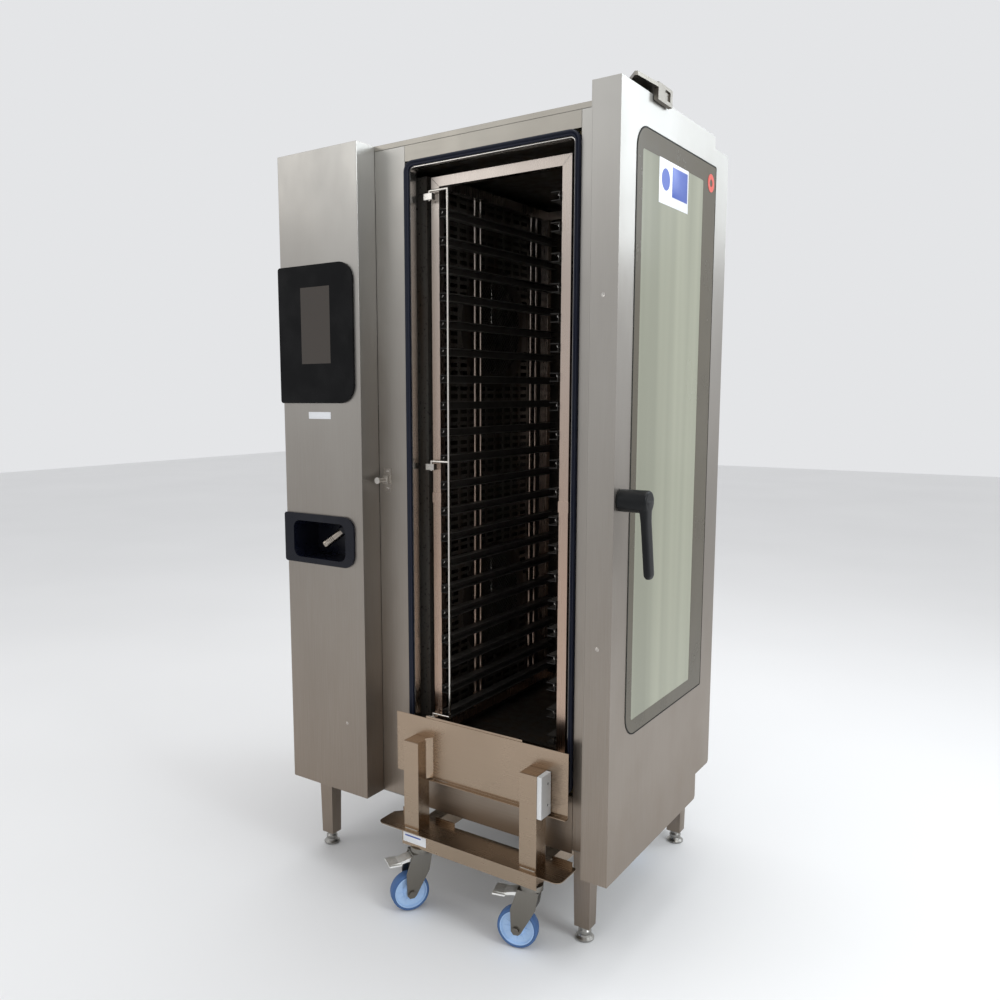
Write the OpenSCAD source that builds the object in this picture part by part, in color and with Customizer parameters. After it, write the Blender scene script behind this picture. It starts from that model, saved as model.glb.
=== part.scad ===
// Floor-standing combi steamer oven: a cabinet with a control column on its left, a tall glazed
// door that swings open and then slides back beside the cabinet, and a roll-in tray trolley.
// Working axes: X from the cabinet's left side, Y backwards from its front face, Z up from 10 mm
// below the floor. place() moves them so that the origin is on the floor, under the middle of the
// whole object.

/* [Cabinet] */
// Width of the cabinet
cab_w = 895; // [885:1:905]
// Depth of the cabinet behind its front face
cab_d = 740; // [735:1:780]
// Height of the floor; this and every other height is measured from the zero level of Z
floor_z = 10; // [5:1:13]
// Height of the top cover
cab_top = 1942; // [1935:1:1960]
// Height of the underside
cab_base = 251; // [250:1:253]
// Thickness of the stainless sheet
sheet = 2; // [1.5:0.5:2]
// Height of the folded edge of the top cover
cover_skirt = 13; // [10:1:16]

/* [Control column] */
// Width of the control column
col_w = 273; // [270:1:276]
// How far the control column stands in front of the cabinet
col_proj = 70; // [66:1:76]

/* [Cavity opening] */
// Left edge of the door gasket
gasket_l = 368; // [366:1:370]
// Right edge of the door gasket
gasket_r = 849; // [847:1:851]
// Lower edge of the door gasket
gasket_b = 385; // [380:1:390]
// Upper edge of the door gasket
gasket_t = 1891; // [1888:1:1894]
// Width of the gasket seen from the front
gasket_w = 13; // [11:1:14]
// Corner radius of the gasket
gasket_rad = 26; // [20:1:30]

/* [Door] */
// Inner face of the open door, from the cabinet's left side
door_in = 936; // [935:1:940]
// Thickness of the door
door_t = 63; // [60:1:66]
// Width of the door, measured along Y while it stands open
door_len = 628; // [624:1:630]
// How far the door's closing edge stands in front of the cabinet
door_front = 127; // [125:1:130]
// Lower edge of the door
door_b = 265; // [264:1:268]
// Upper edge of the door
door_top = 1937; // [1930:1:1937]
// Height of the handle spindle
spindle_z = 1108; // [1100:1:1120]

/* [Trolley] */
// Number of tray levels
levels = 20; // [10:1:20]
// Distance between tray levels
pitch = 67.3; // [64:0.1:67.3]
// Height of the support lip of the top level
top_level = 1758.5; // [1750:0.5:1760]
// Diameter of the caster wheels
wheel_d = 100; // [98:1:104]
// Clear width between the webs of the tray rails
rail_gap = 333; // [330:1:336]

/* [Hidden] */
$fn = 64;
eps = 1;
shaft_fit = 0.05;

// Farthest reach of the handle, the pipe stubs and the display's edge
handle_reach = 77;
stub_reach = 60;
bezel_lap = 4;
screw_head = 1;
mid_x = (door_in + door_t + handle_reach - bezel_lap) / 2;

// Cavity planes
chamber_l = 298;
cavity_r = 846;
cavity_b = 402;
cavity_t = 1882;
cavity_back = 665;
jamb = gasket_w + 3;

// Fans
fan_y = 375;
fan_z = [1507, 731];
fan_r = 150;
motor_x = [156, 292];
baffle_x = 390;

// Places of the cavity drain and of the cavity vent, in X and Y
drain = [640, 500];
vent = [640, 600];

// Door planes and mechanism
door_out = door_in + door_t;
door_rear = door_len - door_front;
pivot = [868, 66];
notch_y = door_rear - 95;
notch_top = door_top - 28;
notch_bottom = door_b + 67;
win_y = [-50, 415];
win_z = [575, 1867];
clear_y = [-20, 330];
clear_z = [610, 1822];
track_x = door_in + door_t / 2;
spindle_y = -98;

// Trolley planes
rack_mid = 606;
rail_l = rack_mid - rail_gap / 2;
rail_r = rack_mid + rail_gap / 2;
post_l = 411;
post_r = 801;
post_w = 24;
rack_y = [50, 620];
rack_b = 436;
rack_t = 1857;
shield_y = -42;
deck_z = 222;
rail_top = 218;
caster_top = 178;
// X, Y and turn of each front caster's swivel axis
caster_l = [455, -72, 55];
caster_r = [778, -65, 15];
toe_reach = 92;
toe_half = 24;
// The left pedal's toe is the foremost point of the whole object
toe_front = caster_l[1] - toe_reach * sin(caster_l[2]) - toe_half * cos(caster_l[2]);
mid_y = (cab_d + stub_reach + toe_front) / 2;
trail = 33;
wheel_r = wheel_d / 2;
axle_z = floor_z + wheel_r;
rear_wheels = [[440, 470], [776, 470]];
hinge_rod = [416, 36];
arm_z = [1822, 1157, 488];

// Hand shower: tip of the nozzle, and the slope and turn of the line back into its socket
tip = [131, -62, 927];
rise = 37;
turn = 37;

// ---------- helpers ----------

module place() translate([-mid_x, -mid_y, -floor_z]) children();

module box(x0, x1, y0, y1, z0, z1) translate([x0, y0, z0]) cube([x1 - x0, y1 - y0, z1 - z0]);

// A 2-D shape drawn in X and Z, extruded from y0 to y1
module along_y(y0, y1) translate([0, y1, 0]) rotate([90, 0, 0]) linear_extrude(y1 - y0) children();

// A 2-D shape drawn in Y and Z, extruded from x0 to x1
module along_x(x0, x1) translate([x0, 0, 0]) rotate([90, 0, 90]) linear_extrude(x1 - x0) children();

module rod_x(x0, x1, y, z, r) translate([x0, y, z]) rotate([0, 90, 0]) cylinder(h = x1 - x0, r = r);

module rod_y(y0, y1, x, z, r) translate([x, y1, z]) rotate([90, 0, 0]) cylinder(h = y1 - y0, r = r);

module rod_z(z0, z1, x, y, r) translate([x, y, z0]) cylinder(h = z1 - z0, r = r);

module rect(a0, a1, b0, b1) translate([a0, b0]) square([a1 - a0, b1 - b0]);

// A rectangle with round corners
module round_rect(a0, a1, b0, b1, r) {
    rect(a0 + r, a1 - r, b0, b1);
    rect(a0, a1, b0 + r, b1 - r);
    for (a = [a0 + r, a1 - r], b = [b0 + r, b1 - r]) translate([a, b]) circle(r);
}

// A rectangle whose corners are round on its high side and tight on its low side
module mixed_rect(a0, a1, b0, b1, r_low, r_high) {
    rect(a0 + r_low, a1 - r_high, b0, b1);
    rect(a0, a0 + r_low, b0 + r_low, b1 - r_low);
    rect(a1 - r_high, a1, b0 + r_high, b1 - r_high);
    for (b = [b0 + r_low, b1 - r_low]) translate([a0 + r_low, b]) circle(r_low);
    for (b = [b0 + r_high, b1 - r_high]) translate([a1 - r_high, b]) circle(r_high);
}

// The sliver outside a round corner whose sharp corner is at a, b
module corner_cut(a, b, r, flip_a = 0, flip_b = 0) {
    translate([a, b]) mirror([flip_a, 0]) mirror([0, flip_b]) difference() {
        translate([-eps, -eps]) square(r + eps);
        translate([r, r]) circle(r);
    }
}

// ---------- cabinet ----------

module left_side_panel() place() color("silver") {
    vent_rows = 12;
    difference() {
        box(0, sheet, 0.5, cab_d - sheet, cab_base + sheet, cab_top - cover_skirt - 0.5);
        for (i = [0 : vent_rows - 1], y = [430, 560])
            box(-eps, sheet + eps, y, y + 90, 340 + 22 * i, 346 + 22 * i);
    }
}

module right_side_panel() place() color("silver") difference() {
    box(cab_w - sheet, cab_w, sheet, cab_d - sheet, cab_base + sheet,
        cab_top - cover_skirt - 0.5);
    // Slot for the lower hinge arm
    box(cab_w - sheet - eps, cab_w + eps, 4, 100, cab_base, cab_base + 18);
}

module rear_panel() place() color("silver") difference() {
    box(0, cab_w, cab_d - sheet, cab_d, cab_base + sheet, cab_top - cover_skirt - 0.5);
    rod_y(cab_d - 2 * sheet, cab_d + eps, drain[0], 330, 24.5);
    for (x = [110, 170]) rod_y(cab_d - 2 * sheet, cab_d + eps, x, 420, 14);
    rod_y(cab_d - 2 * sheet, cab_d + eps, 120, 540, 16.5);
    for (i = [0 : 9], x = [60, 170])
        box(x, x + 80, cab_d - 2 * sheet, cab_d + eps, 1560 + 22 * i, 1566 + 22 * i);
}

module top_cover() place() color("silver") difference() {
    box(0, cab_w, 0, cab_d, cab_top - cover_skirt, cab_top);
    box(sheet, cab_w - sheet, sheet, cab_d - sheet, cab_top - cover_skirt - eps, cab_top - sheet);
    // Hole for the cavity vent
    rod_z(cab_top - 3 * sheet, cab_top + eps, vent[0], vent[1], 29);
}

module bottom_pan() place() color("gray") difference() {
    box(0, cab_w, 0, cab_d, cab_base, cab_base + sheet);
    // The front panel passes down through here
    box(gasket_l - 0.3, gasket_r + 0.3, -eps, sheet + 0.2, cab_base - eps, cab_base + sheet + eps);
}

// Left and right front posts, each with its edge folded back
module front_stiles() place() color("silver") {
    top = cab_top - cover_skirt - 0.5;
    box(col_w, gasket_l - 0.5, 0, sheet, cab_base + sheet, top);
    box(gasket_l - 0.5 - sheet, gasket_l - 0.5, sheet, 20, cab_base + sheet, top);
    box(gasket_r + 0.5, cab_w, 0, sheet, cab_base + sheet, top);
    box(gasket_r + 0.5, gasket_r + 0.5 + sheet, sheet, 20, cab_base + sheet, top);
}

module front_top_rail() place() color("silver") {
    box(gasket_l, gasket_r, 0, sheet, gasket_t + 0.5, cab_top - cover_skirt - 0.5);
    box(gasket_l, gasket_r, sheet, 20, gasket_t + 0.5, gasket_t + 0.5 + sheet);
}

module lower_front_panel() place() color("silver") {
    box(gasket_l, gasket_r, 0, sheet, cab_base - 9, gasket_b - 0.5);
    box(gasket_l, gasket_r, sheet, 20, gasket_b - 0.5 - sheet, gasket_b - 0.5);
}

// The control column: front, both cheeks, top and foot, with openings for its two modules
module console_cover() place() color("silver") difference() {
    box(0, col_w, -col_proj, -0.5, cab_base, cab_top);
    box(sheet, col_w - sheet, -col_proj + sheet, eps, cab_base + sheet, cab_top - sheet);
    box(18, 238, -col_proj - eps, -col_proj + 2 * sheet, 1328, 1637);
    box(26, 221, -col_proj - eps, -col_proj + 2 * sheet, 886, 994);
}

// Welded liner of the cooking cavity: left wall with the fan shaft holes, right wall, back,
// ceiling with the vent and floor with the drain
module cavity_liner() place() color("dimgray") {
    difference() {
        box(chamber_l, chamber_l + sheet, 24, cavity_back, cavity_b, cavity_t);
        for (z = fan_z) {
            rod_x(chamber_l - eps, chamber_l + sheet + eps, fan_y, z, 15);
            rod_x(chamber_l - eps, chamber_l + sheet + eps, fan_y, z + 160, 5);
        }
    }
    box(cavity_r, cavity_r + sheet, 24, cavity_back, cavity_b, cavity_t);
    box(chamber_l, cavity_r + sheet, cavity_back, cavity_back + sheet, cavity_b, cavity_t);
    difference() {
        box(chamber_l, cavity_r + sheet, 24, cavity_back + sheet, cavity_t, cavity_t + sheet);
        rod_z(cavity_t - eps, cavity_t + sheet + eps, vent[0], vent[1], 27);
    }
    difference() {
        box(chamber_l, cavity_r + sheet, 24, cavity_back + sheet, cavity_b - sheet, cavity_b);
        rod_z(cavity_b - 2 * sheet, cavity_b + eps, drain[0], drain[1], 22);
    }
}

// Bright ring behind the gasket that joins the cavity to the front
module cavity_front_frame() place() color("lightgray") {
    l = gasket_l + jamb;
    r = gasket_r - jamb;
    b = gasket_b + jamb;
    t = gasket_t - jamb;
    along_y(1, 24) difference() {
        round_rect(l - sheet, r + sheet, b - sheet, t + sheet, 14);
        round_rect(l, r, b, t, 12);
    }
    // Closing plate from the ring to the fan chamber's corner
    box(chamber_l, l - sheet, 21, 23.5, cavity_b, cavity_t);
    box(r + sheet, cavity_r + sheet, 21, 23.5, cavity_b, cavity_t);
}

// Hollow bulb seal round the opening, standing proud of the front
module door_gasket() place() color("midnightblue") along_y(-8, 0.5) difference() {
    round_rect(gasket_l, gasket_r, gasket_b, gasket_t, gasket_rad);
    round_rect(gasket_l + gasket_w, gasket_r - gasket_w, gasket_b + gasket_w,
        gasket_t - gasket_w, gasket_rad - gasket_w);
}

// Mineral wool slabs round the cavity
module insulation() place() color("khaki") {
    side = [cavity_r + sheet + 1, cab_w - sheet - 2];
    box(side[0], side[1], 26, cab_d - 5, cavity_b, cavity_t);
    box(chamber_l, cavity_r, cavity_back + sheet + 1, cab_d - 5, cavity_b, cavity_t);
    difference() {
        box(chamber_l, side[1], 26, cab_d - 5, cavity_t + sheet + 1, cab_top - cover_skirt - 6);
        rod_z(cavity_t, cab_top, vent[0], vent[1], 31);
    }
    difference() {
        box(chamber_l, side[1], 26, cab_d - 5, 358, cavity_b - sheet - 1);
        rod_z(350, cavity_b, drain[0], drain[1], 33);
    }
}

// Perforated guide plate that hides the fans: rows of slots, and a slatted intake over each fan
module fan_baffle() place() color("dimgray") {
    intake_r = 118;
    row = 41.4;
    along_x(baffle_x, baffle_x + sheet) difference() {
        rect(57, 652, 424, 1864);
        for (i = [0 : 33], j = [0 : 4]) {
            y = 112 + 90 * j;
            z = 446 + row * i;
            near = min([for (f = fan_z) norm([y + 39 - fan_y, z + 5 - f])]);
            if (near > intake_r + 44) rect(y, y + 79, z, z + 11);
        }
        for (f = fan_z) intersection() {
            translate([fan_y, f]) circle(intake_r);
            for (k = [-12 : 11]) rect(fan_y - 130, fan_y + 130, f + 10 * k + 2, f + 10 * k + 8);
        }
    }
    for (y = [57, 650]) box(chamber_l + sheet, baffle_x + eps, y, y + sheet, 424, 1864);
}

module fan_motors() place() color("darkslategray") for (z = fan_z) difference() {
    union() {
        rod_x(motor_x[0], motor_x[1], fan_y, z, 78);
        box(motor_x[1], motor_x[1] + 6, fan_y - 95, fan_y + 95, z - 95, z + 95);
        for (x = [165 : 20 : 265]) rod_x(x, x + 6, fan_y, z, 84);
    }
    rod_x(motor_x[0] + 30, motor_x[1] + 7, fan_y, z, 9 + shaft_fit);
}

// Radial wheel on its shaft
module fan_rotor(z) {
    blades = 12;
    rod_x(motor_x[0] + 60, 372, fan_y, z, 9);
    rod_x(312, 350, fan_y, z, 24);
    rod_x(312, 315, fan_y, z, fan_r);
    for (i = [0 : blades - 1])
        translate([0, fan_y, z]) rotate([i * 360 / blades, 0, 0]) box(314, 368, 70, 146, -1, 1);
    along_x(367, 369) translate([fan_y, z]) difference() {
        circle(fan_r);
        circle(118);
    }
}

module fan_rotor_upper() place() color("silver") fan_rotor(fan_z[0]);

module fan_rotor_lower() place() color("silver") fan_rotor(fan_z[1]);

// Three heater rings round each fan, on three stays that stand on the cavity wall
module heating_elements() place() color("dimgray") for (z = fan_z) {
    ring_r = 178;
    for (x = [324, 343, 362]) translate([x, fan_y, z]) rotate([0, 90, 0]) rotate_extrude()
        translate([ring_r, 0]) circle(6.5, $fn = 24);
    for (a = [30, 150, 270]) rod_x(chamber_l + sheet, 366, fan_y + ring_r * cos(a), z + ring_r * sin(a), 3);
}

// Water pipes that feed the fan hubs
module water_injectors() place() color("silver") for (z = fan_z) {
    rod_x(280, 383, fan_y, z + 160, 4);
    rod_z(z + 18, z + 160, 380, fan_y, 4);
}

module legs() place() color("silver")
for (x = [32, cab_w - 31], y = [45, 632]) translate([x, y, 0]) difference() {
    intersection() {
        translate([-x, -y, 0]) along_y(y - 23, y + 23)
            polygon([[x - 23, cab_base], [x - 20, 44], [x + 20, 44], [x + 23, cab_base]]);
        translate([-x, -y, 0]) along_x(x - 23, x + 23)
            polygon([[y - 21, cab_base], [y - 18, 44], [y + 18, 44], [y + 21, cab_base]]);
    }
    box(-17, 17, -15, 15, 50, cab_base - 3);
    cylinder(h = 60, r = 8.1);
}

module levelling_feet() place() color("gray") for (x = [32, cab_w - 31], y = [45, 632])
    translate([x, y, 0]) rotate_extrude() polygon([
        [0, floor_z], [21, floor_z], [23, floor_z + 2], [23, floor_z + 5], [17, floor_z + 10],
        [15, 24], [16, 28], [16, 33], [13, 37], [12, 43.5], [8, 43.5], [8, 85], [0, 85]
    ]);

// Black glass front with a body that fills the opening in the column
module display_bezel() place() color("black") difference() {
    union() {
        along_y(-col_proj - 6, -col_proj - 0.3) mixed_rect(-bezel_lap, 256, 1305, 1659, 8, 46);
        box(22, 234, -col_proj - 1, -col_proj + 28, 1332, 1633);
    }
    box(77, 179, -col_proj - 8, -col_proj - 4.5, 1407, 1603);
}

module display_screen() place() color("dimgray")
    box(77.2, 178.8, -col_proj - 6, -col_proj - 4.5, 1407.2, 1602.8);

// Processor board behind the display, and the power board with its contactors and transformer
module control_boards() place() color("darkgreen") {
    box(40, 215, -col_proj + 32, -col_proj + 34, 1350, 1610);
    box(60, 262, 30, 32, 1040, 1300);
    for (i = [0 : 3]) box(75 + 45 * i, 110 + 45 * i, 32, 90, 1200, 1270);
    box(80, 180, 32, 110, 1060, 1150);
}

// Bay for the hand shower, with the socket that holds the nozzle
module shower_recess() place() color("black") difference() {
    union() {
        along_y(-col_proj - 6, -col_proj - 0.3) mixed_rect(-bezel_lap, 246, 875, 1010, 8, 34);
        along_y(-col_proj - 1, 22) round_rect(27.5, 219.5, 887.5, 992.5, 24);
        shower_axis() translate([0, 0, 60]) cylinder(h = 46, r = 17);
    }
    difference() {
        along_y(-col_proj - 8, 19) round_rect(30, 217, 890, 990, 22);
        shower_axis() translate([0, 0, 60]) cylinder(h = 46, r = 17);
    }
    shower_axis() translate([0, 0, 50]) cylinder(h = 80, r = 11 + shaft_fit);
}

// Moves children to the nozzle's tip, with Z pointing back into the socket
module shower_axis() translate(tip) rotate([0, 90 - rise, turn]) children();

module hand_shower() place() color("silver") shower_axis() difference() {
    union() {
        translate([0, 0, 2]) cylinder(h = 128, r = 11);
        cylinder(h = 3, r = 9);
    }
    translate([0, 0, -eps]) cylinder(h = 8, r = 6);
}

// Striker that the door's latch grips: plate, block and headed pin
module door_catch() place() color("silver") {
    x = 303;
    box(x - 12, x + 12, -2.5, -0.2, spindle_z - 31, spindle_z + 29);
    box(x - 8, x + 9, -14, -2, spindle_z - 11, spindle_z + 11);
    rod_y(-42, -13, x, spindle_z, 6);
    rod_y(-46, -40, x, spindle_z, 8.5);
}

module panel_screws() place() color("gray") {
    for (z = [spindle_z - 22, spindle_z + 21]) rod_y(-4.5, -2.5, 303, z, 4);
    rod_y(-col_proj - 1.5, -col_proj, 206, 449, 4.5);
    for (y = [120, 620], z = [300, 1100, 1880])
        rod_x(cab_w, cab_w + 1.5, y, z, 4.5);
    for (y = [120, 620], z = [300, 1100, 1880]) rod_x(-1.5, 0, y, z, 4.5);
    for (x = [40, 300, 600, 855], z = [280, 1100, 1890])
        rod_y(cab_d, cab_d + 1.5, x, z, 4.5);
}

// ---------- hinge arms: they turn on the cabinet, and the door slides on them ----------

// Pivot blocks and pins, one on the top cover and one on the bottom pan
module hinge_bases() place() color("silver") {
    translate([pivot[0], pivot[1], 0]) {
        translate([0, 0, cab_top]) difference() {
            translate([-24, -24, 0]) cube([48, 48, 6]);
            for (s = [-1, 1]) translate([17 * s, -17, -eps]) cylinder(h = 8, r = 2.6);
        }
        translate([0, 0, cab_top + 5]) cylinder(h = 16, r = 9);
        translate([0, 0, cab_top + 19.5]) cylinder(h = 3.5, r = 14);
        translate([0, 0, cab_base + sheet]) cylinder(h = 1.6, r = 18);
        translate([0, 0, cab_base + sheet + 1]) cylinder(h = 16, r = 9);
    }
}

// A flat arm from the pivot out over the door, ending in two studs that run in the door's track
module hinge_arm(z0, t, reach, stud_z0, stud_z1) {
    difference() {
        union() {
            translate([pivot[0], pivot[1], z0]) cylinder(h = t, r = 22);
            box(pivot[0], reach, pivot[1] - 20, pivot[1] + 20, z0, z0 + t);
        }
        translate([pivot[0], pivot[1], z0 - eps]) cylinder(h = t + 2 * eps, r = 9 + shaft_fit);
    }
    for (dy = [-14, 14]) rod_z(stud_z0, stud_z1, track_x, pivot[1] + dy, 6);
}

module hinge_arms() place() color("silver") {
    top = cab_top + 7;
    difference() {
        union() {
            hinge_arm(top, 8, door_out + 12, door_top - 33, top + 1);
            // Tapered wing in front of the arm
            translate([0, 0, top]) linear_extrude(8)
                polygon([[900, 47], [975, -40], [1000, -70], [door_out + 6, -66],
                    [door_out + 12, 20], [door_out + 12, 50]]);
            // Guide block that wraps over the door's outer edge
            box(door_out + 2.5, door_out + 12, 24, 100, door_top - 12, top + 11);
        }
        // Slot in the face of the block
        box(door_out + 8, door_out + 13, 60, 88, door_top - 4, top + 4);
    }
    hinge_arm(cab_base + sheet + 2, 8, door_out - 12, cab_base + sheet + 9, door_b + 33);
}

// ---------- services ----------

// Vent of the cavity, through the top cover
module exhaust_stub() place() color("silver") difference() {
    union() {
        rod_z(cavity_t + sheet + 0.2, cab_top + 2, vent[0], vent[1], 28.5);
        rod_z(cab_top + 1, cab_top + 45, vent[0], vent[1], 30);
    }
    rod_z(cavity_t, cab_top + 46, vent[0], vent[1], 26.5);
}

// Drain pot under the cavity floor, with its outlet pipe below the insulation and out at the back
module drain_pipe() place() color("silver") difference() {
    union() {
        rod_z(300, cavity_b - sheet - 0.1, drain[0], drain[1], 31);
        rod_y(drain[1], cab_d + 1.5, drain[0], 330, 24);
        rod_y(cab_d + 1, cab_d + stub_reach, drain[0], 330, 25);
    }
    rod_z(302, cavity_b, drain[0], drain[1], 29);
    rod_y(drain[1], cab_d + stub_reach + eps, drain[0], 330, 22);
}

// Two threaded water connections with the solenoid bodies behind them
module water_inlets() place() color("darkgoldenrod") for (x = [110, 170]) {
    difference() {
        rod_y(cab_d - 20, cab_d + 32, x, 420, 13.2);
        rod_y(cab_d - 10, cab_d + 33, x, 420, 9);
    }
    rod_y(cab_d - 60, cab_d - 19, x, 420, 18);
    rod_y(cab_d + 0.2, cab_d + 7, x, 420, 17);
}

module cable_gland() place() color("dimgray") difference() {
    union() {
        rod_y(cab_d - 18, cab_d + 24, 120, 540, 16);
        translate([120, cab_d + 8.2, 540]) rotate([90, 0, 0]) cylinder(h = 8, r = 23, $fn = 6);
        translate([120, cab_d - 3, 540]) rotate([90, 0, 0]) cylinder(h = 6, r = 23, $fn = 6);
        rod_y(cab_d + 24, cab_d + 36, 120, 540, 14);
    }
    rod_y(cab_d - 19, cab_d + 37, 120, 540, 10);
}

// ---------- door ----------

// Outline of the door in Y and Z, stepped at its hinge side, drawn in by inset
module door_outline(inset = 0) {
    soft = 10;
    difference() {
        rect(-door_front + inset, door_rear - inset, door_b + inset, door_top - inset);
        rect(notch_y - inset, door_rear + eps, notch_top - inset, door_top + eps);
        rect(notch_y - inset, door_rear + eps, door_b - eps, notch_bottom + inset);
        corner_cut(notch_y - inset, door_top - inset, soft, 1, 1);
        corner_cut(door_rear - inset, notch_top - inset, soft, 1, 1);
        corner_cut(notch_y - inset, door_b + inset, soft, 1, 0);
        corner_cut(door_rear - inset, notch_bottom + inset, soft, 1, 0);
    }
}

// The window, with wide round corners on the handle side
module window(gap = 0)
    mirror([1, 0]) mixed_rect(-win_y[1] - gap, -win_y[0] + gap, win_z[0] - gap, win_z[1] + gap,
        6, 50);

// Sheet tray that forms the outer face and all the edges
module door_outer_skin() place() color("silver") difference() {
    union() {
        difference() {
            along_x(door_in + sheet + 0.2, door_out) door_outline();
            along_x(door_in - eps, door_out - sheet) door_outline(sheet);
            along_x(door_in, door_out + eps) window(0.8);
        }
        // Walls round the window, outside and inside the pane's edge
        along_x(door_in + 9, door_out - sheet + 0.5) difference() {
            window(8);
            window(6);
        }
        along_x(door_in + 9, door_out - 6.5) difference() {
            rect(clear_y[0] - 6, clear_y[1] + 6, clear_z[0] - 6, clear_z[1] + 6);
            rect(clear_y[0] - 4, clear_y[1] + 4, clear_z[0] - 4, clear_z[1] + 4);
        }
        // Ledge that carries the outer pane
        along_x(door_out - 7.5, door_out - 5.5) difference() {
            window(8);
            rect(clear_y[0] - 4, clear_y[1] + 4, clear_z[0] - 4, clear_z[1] + 4);
        }
    }
    rod_x(door_out - 3, door_out + 1, spindle_y, spindle_z, 12 + shaft_fit);
    // Mouths of the two tracks
    box(track_x - 8, track_x + 8, -60, door_rear - 8, door_top - 3, door_top + 1);
    box(track_x - 8, track_x + 8, notch_y - 3, door_rear - 8, notch_top - 3, door_top + 1);
    box(track_x - 8, track_x + 8, -60, notch_y + 1, door_b - 1, door_b + 3);
    box(track_x - 8, track_x + 8, notch_y - 3, notch_y + 1, door_b - 1, door_b + 40);
}

module door_inner_skin() place() color("silver") difference() {
    along_x(door_in, door_in + sheet) door_outline();
    along_x(door_in - eps, door_in + sheet + eps)
        round_rect(clear_y[0], clear_y[1], clear_z[0], clear_z[1], 12);
    rod_x(door_in - eps, door_in + sheet + eps, spindle_y, spindle_z, 13);
}

module door_outer_glass() place() color([0.55, 0.58, 0.5, 0.6])
    along_x(door_out - 5, door_out + 0.5) window();

module door_inner_glass() place() color([0.6, 0.65, 0.6, 0.5])
    along_x(door_in + sheet + 0.4, door_in + sheet + 5.4)
        round_rect(clear_y[0] - 12, clear_y[1] + 12, clear_z[0] - 12, clear_z[1] + 12, 14);

// Channels in the top and the foot of the door that the studs of the hinge arms run in
module door_slide_rails() place() color("gray") {
    half = 10;
    depth = 36;
    y0 = -60;
    y1 = door_rear - 14;
    step = notch_y - 14;
    difference() {
        union() {
            box(track_x - half, track_x + half, y0, step, door_top - depth - 6,
                door_top - sheet - 0.5);
            box(track_x - half, track_x + half, step, y1, door_top - depth - 6,
                notch_top - sheet - 0.5);
        }
        box(track_x - half + sheet, track_x + half - sheet, y0 + sheet, y1 - sheet,
            door_top - depth - 4, door_top);
    }
    difference() {
        box(track_x - half, track_x + half, y0, step, door_b + sheet + 0.5,
            door_b + depth + 6);
        box(track_x - half + sheet, track_x + half - sheet, y0 + sheet, notch_y,
            door_b, door_b + depth + 4);
    }
}

module door_screws() place() color("gray") for (z = [792, 1523])
    rod_y(-door_front - screw_head, -door_front, track_x, z, 4.5);

// ---------- handle ----------

module door_handle() place() color("black") {
    hub_r = 24;
    lever_b = 948;
    difference() {
        rod_x(door_out + 0.6, door_out + 66, spindle_y, spindle_z, hub_r);
        rod_x(door_out, door_out + 50, spindle_y, spindle_z, 8.02);
    }
    intersection() {
        along_y(spindle_y - 17, spindle_y + 17) polygon([
            [door_out + 48, spindle_z], [door_out + 68, spindle_z], [door_out + handle_reach, lever_b + 6],
            [door_out + 71, lever_b], [door_out + 63, lever_b], [door_out + 59, lever_b + 6],
            [door_out + 52, spindle_z - 40]
        ]);
        along_x(door_out + 40, door_out + 90)
            round_rect(spindle_y - 17, spindle_y + 17, lever_b, spindle_z + 20, 12);
    }
}

// Square-shouldered spindle with the bayonet cup that grips the striker
module latch_spindle() place() color("gray") difference() {
    union() {
        rod_x(door_in + 42, door_out + 48, spindle_y, spindle_z, 8);
        rod_x(door_in + 42, door_out - 0.2, spindle_y, spindle_z, 12);
        rod_x(door_in + 4, door_in + 46, spindle_y, spindle_z, 18);
    }
    rod_x(door_in + 3, door_in + 44, spindle_y, spindle_z, 11);
}

// ---------- trolley ----------

// Front deck with its wings and lips, fascia, and two runners joined at the back
module trolley_chassis() place() color("rosybrown") {
    deck_y = [-107, -20];
    translate([0, 0, deck_z - 2]) linear_extrude(sheet) difference() {
        rect(338, 874, deck_y[0], deck_y[1]);
        polygon([[338 - eps, -40], [338 - eps, deck_y[1] + eps], [356, deck_y[1] + eps]]);
        corner_cut(338, deck_y[0], 18);
        corner_cut(874, deck_y[0], 18, 1, 0);
        corner_cut(874, deck_y[1], 10, 1, 1);
    }
    for (x = [[357, 411], [463, 524], [808, 862]])
        box(x[0], x[1], deck_y[1] - sheet, deck_y[1], deck_z - 1, deck_z + 12);
    box(410, 806, -94, -94 + sheet, caster_top, deck_z - 1);
    for (x = [[422, 462], [760, 800]]) difference() {
        box(x[0], x[1], -93, 510, caster_top, rail_top + 2);
        box(x[0] + sheet, x[1] - sheet, -80, 511, caster_top + sheet, rail_top);
    }
    box(461, 761, 470, 510, caster_top, rail_top + 2);
}

// The two box posts with the plate that joins each to the shield; the left one is flared there
module trolley_posts() place() color("rosybrown") {
    for (x = [416, 758]) {
        difference() {
            box(x, x + 46, -92, -46, deck_z, 456);
            box(x + sheet, x + 46 - sheet, -92 + sheet, -46 - sheet, deck_z - 1, 456 - sheet);
        }
        box(x, x + 46, -46.5, -43.5, 352, 456);
    }
    translate([0, 0, 352]) linear_extrude(108)
        polygon([[460, -60], [462, -60], [474, -43.5], [462, -43.5]]);
}

// Shield plate with a folded foot and a second, slightly higher layer
module trolley_shield() place() color("rosybrown") {
    box(357, 860, shield_y - 1.5, shield_y + 0.5, 348, 507);
    box(463, 757, shield_y - 14, shield_y - 1, 348, 350);
    box(806, 860, shield_y - 14, shield_y - 1, 348, 350);
    box(450, 735, shield_y + 0.5, shield_y + 2.5, 420, 512);
    for (x = [post_l, post_r - post_w])
        box(x, x + post_w, shield_y + 0.5, rack_y[0], rack_b, rack_b + post_w);
}

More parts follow.
